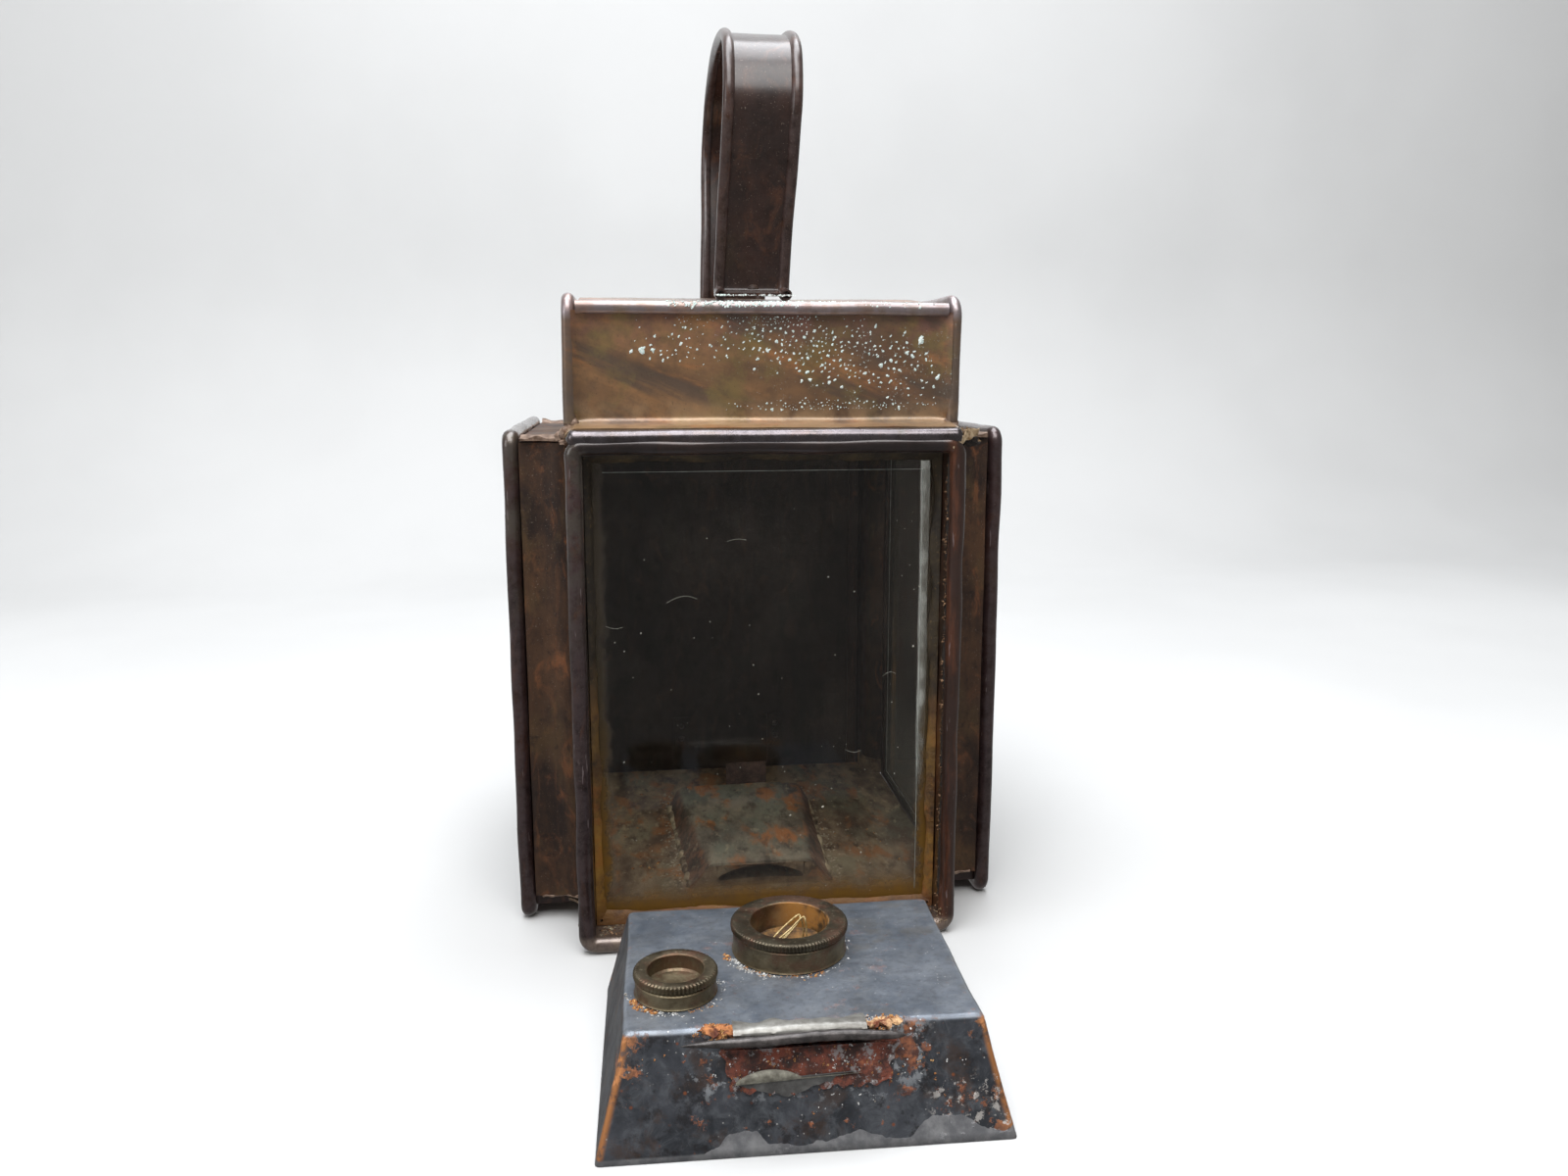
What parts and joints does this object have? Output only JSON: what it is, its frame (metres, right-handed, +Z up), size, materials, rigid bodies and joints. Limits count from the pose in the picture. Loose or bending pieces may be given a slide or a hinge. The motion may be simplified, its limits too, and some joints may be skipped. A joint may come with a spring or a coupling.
{
  "type": "oil hand lamp",
  "caption": "Square copper hand lamp with bevelled windows, a strap handle on the hood, a hinged rear door and a removable oil tank with two screw collars standing in front.",
  "frame": {"origin": "on the surface the lamp stands on, at the middle of the box round lamp and tank", "axes": "+Z up, +X to the right seen from the front, -Y towards the tank, which stands in front of the window opposite the door"},
  "size_m": [0.188, 0.3244, 0.3411],
  "materials": {
    "aged_copper": "aged copper sheet, dark brown patina, worn bright on the rolls",
    "hood_copper": "aged copper sheet, cloudy olive and orange patina with verdigris specks",
    "dark_copper": "blackened copper",
    "tinned_steel": "dull tinned steel with rust spots",
    "rusty_tin": "rusted tinned steel",
    "old_brass": "dull olive brown brass",
    "cement": "dried amber glazing cement",
    "pane_glass": "dusty bevelled plate glass",
    "straw_wire": "pale straw coloured wire"
  },
  "bodies": {
    "lamp_body": {"front_frame": "aged_copper", "right_frame": "aged_copper", "left_frame": "aged_copper", "front_glass": "pane_glass", "right_glass": "pane_glass", "left_glass": "pane_glass", "front_cement": "cement", "right_cement": "cement", "left_cement": "cement", "cove_front_left": "aged_copper", "cove_front_right": "aged_copper", "cove_rear_left": "aged_copper", "cove_rear_right": "aged_copper", "floor_plate": "rusty_tin", "air_duct": "rusty_tin", "roof_plate": "aged_copper", "inner_chimney": "dark_copper", "hood_front": "hood_copper", "hood_rear": "hood_copper", "hood_left": "hood_copper", "hood_right": "hood_copper", "hood_roof": "hood_copper", "handle_strap": "aged_copper", "handle_rivet_front": "dark_copper", "handle_rivet_rear": "dark_copper", "hinge_leaf_low": "dark_copper", "hinge_pin_low": "dark_copper", "hinge_leaf_high": "dark_copper", "hinge_pin_high": "dark_copper", "latch_keeper": "dark_copper"},
    "rear_door": {"door_frame": "aged_copper", "door_panel": "dark_copper", "door_strip_left": "dark_copper", "door_strip_right": "dark_copper", "door_rivet_left_low": "dark_copper", "door_rivet_left_high": "dark_copper", "door_rivet_right_low": "dark_copper", "door_rivet_right_high": "dark_copper", "door_leaf_low": "dark_copper", "door_leaf_high": "dark_copper", "latch_plate": "dark_copper", "latch_rivet": "dark_copper"},
    "door_latch": {"latch_button": "dark_copper"},
    "oil_tank": {"tank_shell": "tinned_steel", "tank_base": "tinned_steel", "burner_neck": "old_brass", "filler_neck": "old_brass", "pull_plate": "rusty_tin", "pull_lip": "tinned_steel", "pull_bar": "tinned_steel", "pull_tab": "rusty_tin", "bent_wire": "straw_wire"},
    "burner_collar": {"burner_ring": "old_brass"},
    "filler_stopper": {"filler_cap": "old_brass"}
  },
  "joints": [
    {"name": "door_hinge", "type": "hinge", "parent": "lamp_body", "child": "rear_door", "pos_m": [-0.0734, 0.15489, 0.094], "axis": [0, 0, 1], "range_deg": [0, 115]},
    {"name": "latch_turn", "type": "hinge", "parent": "rear_door", "child": "door_latch", "pos_m": [0.0675, 0.15849, 0.095], "axis": [0, -1, 0], "range_deg": [-90, 0]},
    {"name": "tank_draw", "type": "slide", "parent": "lamp_body", "child": "oil_tank", "axis": [-0.0272, -0.9996, 0], "range_m": [0, 0.15]},
    {"name": "burner_collar_turn", "type": "hinge", "parent": "oil_tank", "child": "burner_collar", "pos_m": [-0.00242, -0.10547, 0.04], "axis": [0, 0, 1], "continuous": true},
    {"name": "filler_stopper_turn", "type": "hinge", "parent": "oil_tank", "child": "filler_stopper", "pos_m": [-0.03882, -0.12729, 0.038], "axis": [0, 0, 1], "continuous": true}
  ]
}
